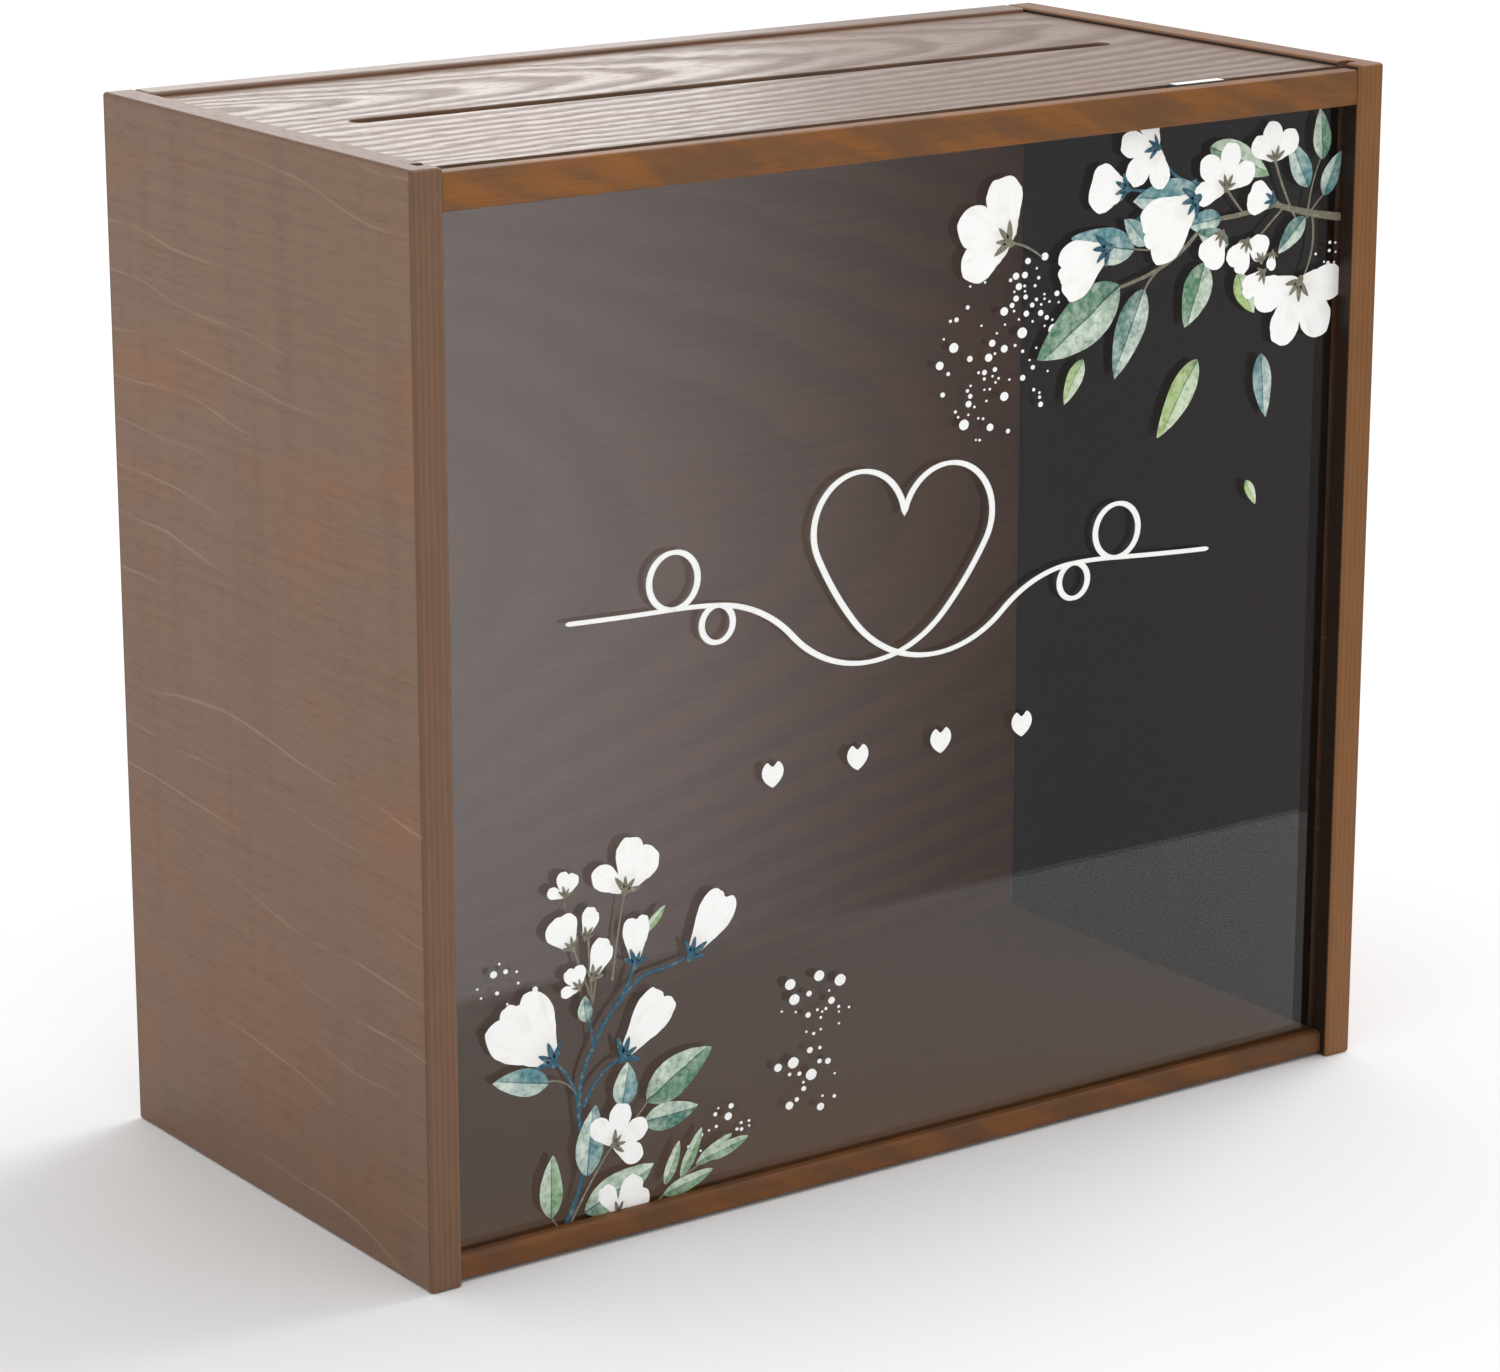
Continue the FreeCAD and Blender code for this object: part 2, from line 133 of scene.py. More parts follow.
# %% Shader sums
class Wire:
    """One output socket of a node tree. Sums with numbers or other wires add Math nodes."""

    def __init__(self, tree, socket=None):
        self.tree = tree
        self.socket = socket

    def node(self, kind, sockets, output=0, **settings):
        """Any node: settings first, then a value or a wire for each of its sockets, by name or number."""
        made = self.tree.nodes.new(kind)
        for key, value in settings.items():
            if key == "stops":
                for spare in list(made.color_ramp.elements)[1:]:
                    made.color_ramp.elements.remove(spare)
                for i, (place, colour) in enumerate(value):
                    stop = made.color_ramp.elements[0] if i == 0 else made.color_ramp.elements.new(place)
                    stop.position = place
                    stop.color = colour
            else:
                setattr(made, key, value)
        for key, value in sockets.items():
            if isinstance(value, Wire):
                self.tree.links.new(value.socket, made.inputs[key])
            else:
                made.inputs[key].default_value = value
        return Wire(self.tree, made.outputs[output])

    def math(self, operation, *values):
        return self.node("ShaderNodeMath", dict(enumerate(values)), operation=operation)

    def __add__(self, other):
        return self.math("ADD", self, other)

    def __sub__(self, other):
        return self.math("SUBTRACT", self, other)

    def __rsub__(self, other):
        return self.math("SUBTRACT", other, self)

    def __mul__(self, other):
        return self.math("MULTIPLY", self, other)

    def __truediv__(self, other):
        return self.math("DIVIDE", self, other)

    __radd__ = __add__
    __rmul__ = __mul__

    def size(self):
        return self.math("ABSOLUTE", self)

    def fraction(self):
        return self.math("FRACT", self)

    def rise(self, start, end):
        """0 below start, 1 above end and smooth between them; it falls if end is the lower."""
        return self.node(
            "ShaderNodeMapRange",
            {"Value": self, "From Min": start, "From Max": end},
            interpolation_type="SMOOTHSTEP",
        )

    def noise(self, x, y, z, detail=2.0, roughness=0.5):
        """Cloudy noise from 0 to 1 at a point given as three wires or numbers."""
        point = self.node("ShaderNodeCombineXYZ", {0: x, 1: y, 2: z})
        return self.node(
            "ShaderNodeTexNoise", {"Vector": point, "Scale": 1.0, "Detail": detail, "Roughness": roughness}
        )

    def mix(self, low, high):
        """A colour between two colours or colour wires, by this wire from 0 to 1."""
        return self.node(
            "ShaderNodeMix", {0: self, 6: low, 7: high}, output=2, data_type="RGBA", clamp_factor=True
        )


def paint(red, green, blue):
    """A screen colour of 0 to 255, as the linear colour that shaders want."""
    linear = [((c / 255 + 0.055) / 1.055) ** 2.4 if c > 10 else c / 255 / 12.92 for c in (red, green, blue)]
    return (*linear, 1.0)


def new_material(name):
    """A material with its Principled shader, and a wire to start sums from."""
    material = bpy.data.materials.new(name)
    material.use_nodes = True
    return material, material.node_tree.nodes["Principled BSDF"], Wire(material.node_tree)


def plug(wire, shader, socket):
    wire.tree.links.new(wire.socket, shader.inputs[socket])


def millimetres(wire):
    """Object coordinates as three wires in millimetres."""
    place = wire.node("ShaderNodeTexCoord", {}, output=3)
    large = wire.node("ShaderNodeVectorMath", {0: place, "Scale": 1 / MM}, operation="SCALE")
    return [wire.node("ShaderNodeSeparateXYZ", {0: large}, output=i) for i in range(3)]


print("one orange", [round(c, 3) for c in paint(200, 120, 60)])

# %% [markdown]
# ## Floor
#
# The sweep is a plain pale plane. It is hundreds of times wider than the box, so that its far edge is lost in
# the horizon even in a low view. It isn't part of the object.

# %% Floor
floor_width = 240
bpy.ops.object.select_all(action="DESELECT")
bpy.ops.mesh.primitive_plane_add(size=floor_width)
floor = bpy.context.object
floor.name = "floor"
pale, pale_shader, _ = new_material("pale_sweep")
pale_shader.inputs["Base Color"].default_value = (0.9, 0.9, 0.9, 1)
pale_shader.inputs["Roughness"].default_value = 0.85
floor.data.materials.append(pale)


# %% [markdown]
# ## Stained wood
#
# A board is a slice of a log, and its figure is where the slice cuts the growth rings. So the rings are
# made first, as the distance from a leaning pith: where the slice runs past the pith the lines are straight,
# and where it cuts a ring flat they arch, as on the top panel behind the slot. Wave textures could draw
# stripes, but they can't make arches. Fine noise stretched along the grain gives pores, slow noise gives
# the patches where the stain took warmer, and noise stretched across the grain gives the faint bars that a
# rotary-cut veneer shows.


# %% Stained wood
def growth_rings(wire, along, across, deep, pith, lean, pitch, wander, crinkle=1.0, detail=3.0):
    """A ramp from 0 to 1 in each ring, for a pith at (across, deep) that leans through the board.

    pitch is the width of a ring in millimetres, wander how far slow bends push it, and crinkle the share of
    that in ripples a few millimetres long.
    """
    bend = wire.noise(along / 75, across / 50, deep / 50, detail) - 0.5
    ripple = wire.noise(along / 14, across / 8, deep / 30, 2.0) - 0.5
    side = across - pith[0] + bend * wander + ripple * (crinkle * wander / 9)
    down = along * lean + deep - pith[1] + bend * wander
    distance = wire.math("SQRT", side * side + down * down)
    return (distance / pitch).fraction()


def stain(wire, along, across, deep, tones, patch, bars=0.16):
    """Stain with warm patches, dark bars across the grain and fine streaks along it, and its pores.

    Each noise is divided by the length and the width of what it draws, in millimetres. Pores are 5 long and
    under half a millimetre wide.
    """
    plain, warm, dark = tones
    patches = wire.noise(along / patch, across / (patch * 0.6), deep / patch, 3.0)
    ground = patches.rise(0.44, 0.74).mix(plain, warm)
    bar = wire.noise(along / 9, across / 120, deep / 60, 3.0, 0.6).rise(0.45, 0.75)
    streaks = wire.noise(along / 55, across / 1.5, deep / 1.5, 3.0, 0.6).rise(0.4, 0.75)
    pores = wire.noise(along / 5, across * 2.2, deep * 2.2, 2.0).rise(0.5, 0.8)
    return (bar * bars + streaks * 0.22 + pores * 0.16).mix(ground, dark), pores


def ply_edge(wire, along, across, tones):
    """The edge of plywood: thin layers across its thickness, in turn light and dark."""
    light, dark = tones
    layer_thickness = 1.7
    waver = wire.noise(along / 40, across / 5, 0.0, 2.0) * 0.9
    layer = ((across + waver) / layer_thickness).fraction()
    stripe = layer.rise(0.1, 0.5) * layer.rise(1.0, 0.6)
    fibres = wire.noise(along / 9, across * 2.4, 0.0, 3.0, 0.65)
    mottle = wire.noise(along / 18, across / 6, 3.0, 3.0)
    return (stripe * 0.22 + fibres * 0.35 + (mottle - 0.5) * 0.5).mix(light, dark)


def finish_wood(material, shader, wire, colour, relief, roughness, coat=0.0, shine=0.5):
    """Satin varnish over the stain. shine is how much it mirrors, and coat adds a thin clear layer."""
    plug(colour, shader, "Base Color")
    plug(roughness, shader, "Roughness")
    shader.inputs["Specular IOR Level"].default_value = shine
    shader.inputs["Coat Weight"].default_value = coat
    shader.inputs["Coat Roughness"].default_value = 0.25
    bump = wire.node("ShaderNodeBump", {"Strength": 0.12, "Distance": 0.15 * MM, "Height": relief})
    plug(bump, shader, "Normal")
    return material


def clothe(name, material):
    """Give a CAD node a material in place of the one that it was packed with."""
    nodes[name].data.materials.clear()
    nodes[name].data.materials.append(material)


print("boards", [name for name in nodes if name.endswith("_panel") or name.endswith("_rail")])

# %% [markdown]
# ## Side panels
#
# Their grain runs from front to back. What shows of the rings is bunches of thin pale lines that slant a
# little, on a ground that is grey-brown with rusty patches, and painted shade darkens it towards the foot.
# Their front and back edges show the layers of the ply as lines up the edge, and the corners beside them
# took more stain. The inner face is painted nearly black, as painted shade inside the box. Masks pick the
# edges by place, because the CAD says where they are.


# %% Side panels
def side_panel_wood(name, sign, tones, edge_tones):
    """sign is -1 for the left panel and 1 for the right one."""
    material, shader, wire = new_material(name + "_wood")
    x, y, z = millimetres(wire)
    low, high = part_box(name)
    outer_x = (low.x if sign < 0 else high.x) / MM
    inner_x = (high.x if sign < 0 else low.x) / MM
    edge_y = high.y / MM
    rim_z = high.z / MM
    face, pores = stain(wire, y, z, x, tones, 62)
    # Painted shade: the face is darkened towards the foot, where less light reaches it.
    face = (z.rise(rim_z, low.z / MM) * 0.22).mix(face, tones[2])
    ring = growth_rings(
        wire, y, z, x * sign, pith=(-160, 60), lean=-0.22, pitch=13, wander=13, crinkle=0.2, detail=1.5
    )
    line = ring.rise(0.9, 0.945) * ring.rise(0.99, 0.945)
    bunch = wire.noise(y / 140, z / 34, 7.0, 0.0).rise(0.44, 0.62)
    broken = wire.noise(y / 30, z / 12, 7.0, 3.0).rise(0.3, 0.6)
    face = (line * broken * bunch * 0.26).mix(face, paint(176, 158, 138))
    front = ply_edge(wire, z, x - outer_x, edge_tones)
    rim = ply_edge(wire, y, x - outer_x, edge_tones)
    on_front = y.size().rise(edge_y - 0.7, edge_y - 0.3)
    on_rim = z.rise(rim_z - 0.7, rim_z - 0.3)
    # Painted shade: the inner face, inside the box, is painted nearly black.
    inner_shade = x.rise(inner_x + sign * 0.3, inner_x)
    face = (inner_shade * 0.95).mix(face, paint(30, 18, 10))
    corner = y.size().rise(edge_y - 1.7, edge_y - 0.9) * (1 - on_front)
    face = (corner * 0.45).mix(face, paint(54, 36, 24))
    colour = on_rim.mix(on_front.mix(face, front), rim)
    clothe(name, finish_wood(material, shader, wire, colour, pores, pores * 0.15 + 0.4, shine=0.25))


walnut = (paint(122, 94, 74), paint(133, 90, 60), paint(84, 60, 46))
left_edge_tones = (paint(122, 90, 68), paint(84, 60, 44))
right_edge_tones = (paint(138, 92, 50), paint(92, 60, 34))
side_panel_wood("left_side_panel", -1, walnut, left_edge_tones)
side_panel_wood("right_side_panel", 1, walnut, right_edge_tones)

# %% [markdown]
# ## Top panel
#
# Its grain runs from left to right. Behind the slot the rings are cut nearly flat and arch one after
# another; in front of it they run straight. The early wood between the rings takes the varnish unevenly,
# so the rings show in the gloss as much as in the colour.

# %% Top panel
material, shader, wire = new_material("top_panel_wood")
x, y, z = millimetres(wire)
top_tones = (paint(126, 100, 82), paint(132, 98, 72), paint(84, 62, 48))
face, pores = stain(wire, x, y, z, top_tones, 70)
ring = growth_rings(wire, x, y, z, pith=(34, 250), lean=0.17, pitch=6.5, wander=24, crinkle=0.5)
late = ring.rise(0.1, 0.6) * ring.rise(1.0, 0.7)
colour = (late * 0.45).mix(face, top_tones[2])
roughness = late * 0.15 + pores * 0.3 + 0.28
clothe("top_panel", finish_wood(material, shader, wire, colour, late * 0.25 + pores, roughness, shine=0.36))
print("top panel", len(wire.tree.nodes), "nodes in its material")

# %% [markdown]
# ## Back panel
#
# It is seen through the pane, so its inner face matters most: fine straight grain with a broad soft figure.
# The inside took less stain than the outside, so the two faces get their own tones, by depth.

# %% Back panel
material, shader, wire = new_material("back_panel_wood")
x, y, z = millimetres(wire)
outside_tones = (paint(112, 84, 66), paint(122, 82, 54), paint(66, 46, 36))
inside_tones = (paint(120, 84, 58), paint(123, 80, 50), paint(70, 46, 32))
inner_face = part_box("back_panel")[0].y / MM
outside, pores = stain(wire, x, z, y, outside_tones, 80, bars=0.1)
inside, _ = stain(wire, x, z, 0.0, inside_tones, 90, bars=0.06)
face = y.rise(inner_face + 1, inner_face + 2).mix(inside, outside)
ring = growth_rings(wire, x, z, y, pith=(150, -80), lean=0.14, pitch=6.0, wander=9, crinkle=0.6)
late = ring.rise(0.2, 0.6) * ring.rise(1.0, 0.8)
colour = (late * 0.24).mix(face, paint(70, 48, 36))
clothe("back_panel", finish_wood(material, shader, wire, colour, pores, pores * 0.15 + 0.42, coat=0.15))
print("back panel's inner face at y", inner_face)

# %% [markdown]
# ## Rail and bottom panel
#
# Their front edges frame the pane. The stain took orange there, with a slanting ripple across the grain. The
# bottom panel goes on behind the pane as the floor of the box, and is paler there.


# %% Rail and bottom panel
def lip_wood(name, ripple_tones, dark):
    """Warm edge wood with a slanting ripple and short fibres."""
    material, shader, wire = new_material(name + "_wood")
    x, y, z = millimetres(wire)
    ripple = wire.noise((x + z * 2.2) / 17, (z * 0.6 - x * 0.12) / 8, y / 12, 3.0)
    fibres = wire.noise(x / 10, z * 1.8, y * 1.8, 3.0, 0.6)
    warm, dull = ripple_tones
    ground = ripple.rise(0.32, 0.68).mix(warm, dull)
    pane_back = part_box("front_pane")[1].y / MM
    ground = y.rise(pane_back, pane_back + 1).mix(ground, paint(138, 98, 62))
    colour = (fibres.rise(0.45, 0.8) * 0.35).mix(ground, dark)
    clothe(name, finish_wood(material, shader, wire, colour, fibres, fibres * 0.15 + 0.4, shine=0.3))


rail_tones = (paint(136, 84, 32), paint(108, 72, 42))
lip_tones = (paint(116, 70, 27), paint(94, 60, 32))
lip_wood("front_top_rail", rail_tones, paint(80, 50, 24))
lip_wood("bottom_panel", lip_tones, paint(66, 40, 20))

# %% [markdown]
# ## Dowels
#
# They are hidden in the joints, but a part can be looked at on its own, so they get bare beech.

# %% Dowels
beech, beech_shader, wire = new_material("bare_beech")
x, y, z = millimetres(wire)
flecks = wire.noise(x / 3, y * 2, z * 2, 2.0)
plug(flecks.mix(paint(205, 172, 128), paint(176, 138, 96)), beech_shader, "Base Color")
plug(flecks * 0.2 + 0.6, beech_shader, "Roughness")
dowel_rows = [name for name in nodes if "dowel" in name]
for name in dowel_rows:
    clothe(name, beech)
print(len(dowel_rows), "rows of dowels")

# %% [markdown]
# ## Clear pane
#
# The pane is a real slab with two faces, so clear plastic that bends and mirrors light shows both: the haze
# of the studio on it, and the dark twin beside each flower, which is the ink in the mirror of the rear
# face. It mirrors a little less than acrylic does, by a lower index of refraction, so that the wood behind
# it stays warm. Lamps can't find their way through such a slab in few samples, so for their rays alone it is
# let through by the usual Light Path mix.

# %% Clear pane
pane_index = 1.4
acrylic, acrylic_shader, wire = new_material("clear_acrylic")
acrylic_shader.inputs["Base Color"].default_value = (1, 1, 1, 1)
acrylic_shader.inputs["Roughness"].default_value = 0.0
acrylic_shader.inputs["IOR"].default_value = pane_index
acrylic_shader.inputs["Transmission Weight"].default_value = 1.0
open_way = wire.node("ShaderNodeBsdfTransparent", {})
to_lamp = wire.node("ShaderNodeLightPath", {}, output="Is Shadow Ray")
slab = Wire(wire.tree, acrylic_shader.outputs[0])
pane_look = wire.node("ShaderNodeMixShader", {0: to_lamp, 1: slab, 2: open_way})
wire.tree.links.new(pane_look.socket, wire.tree.nodes["Material Output"].inputs["Surface"])
clothe("front_pane", acrylic)

# %% [markdown]
# ## Sawn edge of the pull tab
#
# A sawn edge of acrylic is frosted white, and the tab's is the one that shows, as a bright dash in front of
# the top panel. A thin rounded strip on the tab's edge gives it. The pane's own mesh says where the tab is.

# %% Sawn edge of the pull tab
frost_depth = 0.2 * MM
frost_rounding = 0.06 * MM
tab_band = 0.05 * MM
pane_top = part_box("front_pane")[1].z
tab = [v.co for v in nodes["front_pane"].data.vertices if v.co.z > pane_top - tab_band]
tab_left = min(v.x for v in tab)
tab_right = max(v.x for v in tab)
tab_front = min(v.y for v in tab)
tab_back = max(v.y for v in tab)
bpy.ops.object.select_all(action="DESELECT")
bpy.ops.mesh.primitive_cube_add(size=1)
frost = bpy.context.object
frost.name = "tab_frosted_edge"
middle = Vector(((tab_left + tab_right) / 2, (tab_front + tab_back) / 2, pane_top))
stretch = Matrix.Diagonal((tab_right - tab_left, tab_back - tab_front, frost_depth, 1))
frost.data.transform(Matrix.Translation(middle) @ stretch)
bpy.ops.object.mode_set(mode="EDIT")
bpy.ops.mesh.select_all(action="SELECT")
bpy.ops.mesh.bevel(offset=frost_rounding, segments=2)
bpy.ops.object.mode_set(mode="OBJECT")
material, shader, wire = new_material("frosted_acrylic")
x, y, z = millimetres(wire)
scratches = wire.noise(x * 3, y / 2, 0.0, 3.0)
plug(scratches.mix(paint(255, 255, 255), paint(232, 238, 238)), shader, "Base Color")
plug(scratches * 0.2 + 0.4, shader, "Roughness")
frost.data.materials.append(material)
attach(frost, "pane")
print("tab", round((tab_right - tab_left) / MM, 1), "mm wide")


# %% [markdown]
# ## Card for the pane to mirror
#
# A clear pane shows what stands in front of it. In a white room it would be a flat haze, and the flowers
# would have no depth behind them. So a card stands in front of the box, as one does in a studio: bright at
# its left end and dim at its right. Only gloss sees it, so it throws no shadow.

# %% Card for the pane to mirror
card_left = -0.09
card_right = 0.40
card_height = 0.36
card_front = -0.245
fade_left = -60.0
fade_right = 200.0
bright_end = (1.8, 1.8, 1.88, 1)
dim_end = (0.44, 0.44, 0.45, 1)
bpy.ops.object.select_all(action="DESELECT")
bpy.ops.mesh.primitive_plane_add(size=1)
card = bpy.context.object
card.name = "graded_card"
stretch = Matrix.Diagonal((card_right - card_left, card_height, 1, 1))
upright = Matrix.Rotation(math.radians(90), 4, "X")
centre = Matrix.Translation(((card_left + card_right) / 2, card_front, card_height / 2))
card.data.transform(centre @ upright @ stretch)
material = bpy.data.materials.new("graded_card")
material.use_nodes = True
tree = material.node_tree
wire = Wire(tree)
tree.nodes.remove(tree.nodes["Principled BSDF"])
x, y, z = millimetres(wire)
shade = x.rise(fade_right, fade_left).mix(dim_end, bright_end)
glow = wire.node("ShaderNodeEmission", {"Color": shade})
mirrored = wire.math("GREATER_THAN", wire.node("ShaderNodeLightPath", {}, output="Glossy Depth"), 0.5)
nothing = wire.node("ShaderNodeBsdfTransparent", {})
seen = wire.node("ShaderNodeMixShader", {0: mirrored, 1: nothing, 2: glow})
tree.links.new(seen.socket, tree.nodes["Material Output"].inputs["Surface"])
card.data.materials.append(material)
card.visible_camera = False
card.visible_diffuse = False
card.visible_shadow = False
print("card", [round(v, 3) for v in card.dimensions])

# %% [markdown]
# ## Where the print goes
#
# The print is drawn flat, with x across and y up in millimetres, and then stood on the pane's front face.
# Its corners are those of the opening between the sides, the rail and the bottom panel.

# %% Where the print goes
pane_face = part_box("front_pane")[0].y
window_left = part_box("left_side_panel")[1].x
window_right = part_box("right_side_panel")[0].x
window_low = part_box("bottom_panel")[1].z
window_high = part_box("front_top_rail")[0].z
lower_corner = (window_left, window_low)
upper_corner = (window_right, window_high)
ink_gap = 0.01
print("window", round((window_right - window_left) / MM, 1), "x", round((window_high - window_low) / MM, 1))


def stand(piece, anchor):
    """Stand a flat drawing on the pane, put its place in its mesh, and let it ride on the pane."""
    up = Matrix.Rotation(math.radians(90), 4, "X") @ Matrix.Scale(MM, 4)
    piece.data.transform(Matrix.Translation((anchor[0], pane_face, anchor[1])) @ up @ piece.matrix_world)
    piece.matrix_world = Matrix.Identity(4)
    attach(piece, "pane")
    return piece


# %% [markdown]
# ## Inks
#
# The flowers are in the manner of a watercolour. White ink is opaque and dead flat, with a breath of warm
# grey at the foot of each petal. Leaf ink runs from teal through green to lime from leaf to leaf, and one
# half of a leaf is paler than the other, as where the brush was lifted. Both read the piece's own UV map, in
# which u runs from foot to tip and v across, and an attribute called tone that differs from copy to copy.


# %% Inks
def ink_inputs(wire):
    uv = wire.node("ShaderNodeUVMap", {}, uv_map="UVMap")
    u = wire.node("ShaderNodeSeparateXYZ", {0: uv}, output=0)
    v = wire.node("ShaderNodeSeparateXYZ", {0: uv}, output=1)
    tone = wire.node("ShaderNodeAttribute", {}, output=2, attribute_name="tone")
    return u, v, tone


def finish_ink(material, shader, colour, tooth):
    """Flat ink with the slight tooth that a print has."""
    plug(colour, shader, "Base Color")
    plug(tooth * 0.2 + 0.45, shader, "Roughness")
    shader.inputs["Specular IOR Level"].default_value = 0.25
    return material


def petal_ink():
    material, shader, wire = new_material("petal_ink")
    u, v, tone = ink_inputs(wire)
    rays = wire.noise(u * 1.5 + tone * 9, v * 11, tone * 5, 3.0)
    cloud = wire.noise(u * 2.5 + tone * 4, v * 2.5, tone * 7, 2.0)
    shade = u.rise(0.5, 0.0) * 0.5 + rays.rise(0.5, 0.85) * 0.22 + cloud.rise(0.5, 0.8) * 0.22
    rim = (v - 0.5).size().rise(0.44, 0.5) * 0.22
    colour = (shade + rim).mix(paint(254, 254, 252), paint(218, 211, 198))
    return finish_ink(material, shader, colour, rays)


def pen_ink():
    material, shader, wire = new_material("pen_ink")
    x, y, z = millimetres(wire)
    tooth = wire.noise(x * 2, y * 2, z * 2, 3.0)
    colour = tooth.rise(0.45, 0.8).mix(paint(252, 252, 250), paint(236, 234, 228))
    return finish_ink(material, shader, colour, tooth)


def leaf_ink():
    material, shader, wire = new_material("leaf_ink")
    u, v, tone = ink_inputs(wire)
    x, y, z = millimetres(wire)
    ramp = [(0.0, paint(84, 138, 148)), (0.25, paint(62, 112, 110)), (0.5, paint(70, 124, 88)),
            (0.75, paint(134, 168, 122)), (1.0, paint(172, 196, 116))]
    hue = wire.node("ShaderNodeValToRGB", {0: tone}, stops=ramp)
    wash = wire.noise(x / 1.6, tone * 9, z / 1.6, 4.0, 0.65)
    cloud = wire.noise(x / 5, tone * 9, z / 5, 2.0)
    bent = v + (wire.noise(u * 2, tone * 6, 0.0, 1.0) - 0.5) * 0.12
    lifted = bent.rise(0.5, 0.54) * 0.45
    pale = (wash.rise(0.35, 0.8) * 0.35 + cloud.rise(0.4, 0.7) * 0.3 + lifted).mix(hue, paint(222, 232, 218))
    rib = (bent - 0.5).size().rise(0.03, 0.0) * u.rise(1.0, 0.7)
    foot = u.rise(0.3, 0.0) * 0.3
    dark = (rib * 0.75 + foot + wash.rise(0.5, 0.3) * 0.35).mix(pale, paint(34, 72, 66))
    return finish_ink(material, shader, dark, wash)


def stem_ink():
    material, shader, wire = new_material("stem_ink")
    x, y, z = millimetres(wire)
    u, v, tone = ink_inputs(wire)
    wash = wire.noise(x / 1.5, 0.0, z / 1.5, 4.0, 0.65)
    hue = tone.rise(0.2, 0.8).mix(paint(38, 88, 108), paint(122, 116, 98))
    colour = (wash.rise(0.45, 0.8) * 0.6).mix(hue, paint(176, 180, 168))
    return finish_ink(material, shader, colour, wash)


white = petal_ink()
pen_white = pen_ink()
green = leaf_ink()
teal = stem_ink()
print("inks", [ink.name for ink in (white, pen_white, green, teal)])

# %% [markdown]
# ## Petal and leaf shapes
#
# Each shape starts as a flat disc and is pulled into form in edit mode, as with a brush: proportional
# editing drags the ends out to a point, narrows a foot or presses a notch in. A little seeded noise on the
# outline keeps it from looking cut by a die. Each shape is one unit long from its foot at zero, is made
# once, and is then copied wherever the drawing wants one.


# %% Petal and leaf shapes
def start_disc(name, width, sides=40):
    """A flat oval one unit long from zero along x, in edit mode."""
    bpy.ops.object.select_all(action="DESELECT")
    bpy.ops.mesh.primitive_circle_add(vertices=sides, radius=0.5, fill_type="NGON", location=(0, 0, 0))
    disc = bpy.context.object
    disc.name = name
    bpy.ops.object.mode_set(mode="EDIT")
    bpy.ops.mesh.select_all(action="SELECT")
    bpy.ops.transform.translate(value=(0.5, 0, 0))
    bpy.ops.transform.resize(value=(1, width, 1), center_override=(0.5, 0, 0))
    return disc


def choose(disc, test):
    """Select the points of the outline that pass a test."""
    bpy.ops.mesh.select_all(action="DESELECT")
    sheet = bmesh.from_edit_mesh(disc.data)
    for vert in sheet.verts:
        vert.select = bool(test(vert.co))
    sheet.select_flush(True)
    bmesh.update_edit_mesh(disc.data)


def pull(disc, test, move, reach, falloff="SMOOTH"):
    """Move the points that pass a test, and their neighbours less and less out to a reach."""
    choose(disc, test)
    bpy.ops.transform.translate(
        value=move, use_proportional_edit=True, proportional_edit_falloff=falloff, proportional_size=reach
    )


def narrow(disc, test, share, reach):
    """Squeeze the points that pass a test towards the midline, and their neighbours less."""
    choose(disc, test)
    bpy.ops.transform.resize(
        value=(1, share, 1),
        center_override=(0, 0, 0),
        use_proportional_edit=True,
        proportional_edit_falloff="SMOOTH",
        proportional_size=reach,
    )


def end_disc(disc, rough=0.0, seed=1):
    """Roughen the outline, leave edit mode, and write the UV map from the shape's length and width."""
    if rough:
        bpy.ops.mesh.select_all(action="SELECT")
        bpy.ops.transform.vertex_random(offset=rough, seed=seed)
        bpy.ops.transform.resize(value=(1, 1, 0))
    bpy.ops.object.mode_set(mode="OBJECT")
    low_x = min(v.co.x for v in disc.data.vertices)
    low_y = min(v.co.y for v in disc.data.vertices)
    length = max(v.co.x for v in disc.data.vertices) - low_x
    width = max(v.co.y for v in disc.data.vertices) - low_y
    layer = disc.data.uv_layers.get("UVMap") or disc.data.uv_layers.new(name="UVMap")
    for loop in disc.data.loops:
        spot = disc.data.vertices[loop.vertex_index].co
        layer.data[loop.index].uv = ((spot.x - low_x) / length, (spot.y - low_y) / width)
    disc.hide_render = True
    masters.append(disc)
    print(disc.name, "is", round(length, 2), "long and", round(width, 2), "wide")
    return disc


def is_foot(spot):
    return spot.x < 0.002


def is_tip(spot):
    return spot.x > 0.998


def leaf(name, width, point, curl, seed):
    disc = start_disc(name, width)
    pull(disc, is_tip, (point, curl, 0), 0.45, "SHARP")
    pull(disc, is_foot, (-0.06, 0, 0), 0.25, "SHARP")
    return end_disc(disc, 0.006, seed)


def petal(name, width, notch, seed):
    disc = start_disc(name, width)
    narrow(disc, lambda spot: spot.x < 0.3, 0.62, 0.5)
    pull(disc, is_tip, (-notch, 0.02, 0), 0.2)
    return end_disc(disc, 0.012, seed)


masters = []
leaf_shapes = [leaf("leaf_shape", 0.5, 0.34, 0.04, 3), leaf("left_leaf_shape", 0.48, 0.36, -0.05, 4)]
blade_shape = leaf("blade_shape", 0.28, 0.3, 0.03, 5)
petal_shapes = [petal("petal_shape", 0.6, 0.03, 6), petal("full_petal_shape", 0.64, 0.06, 7),
                petal("smooth_petal_shape", 0.62, 0.0, 8)]
heart_shape = start_disc("heart_shape", 1.0, 48)
pull(heart_shape, is_foot, (-0.16, 0, 0), 0.6, "SHARP")
pull(heart_shape, is_tip, (-0.28, 0, 0), 0.3)
end_disc(heart_shape)
speck_shape = end_disc(start_disc("speck_shape", 1.0, 14), 0.03, 9)


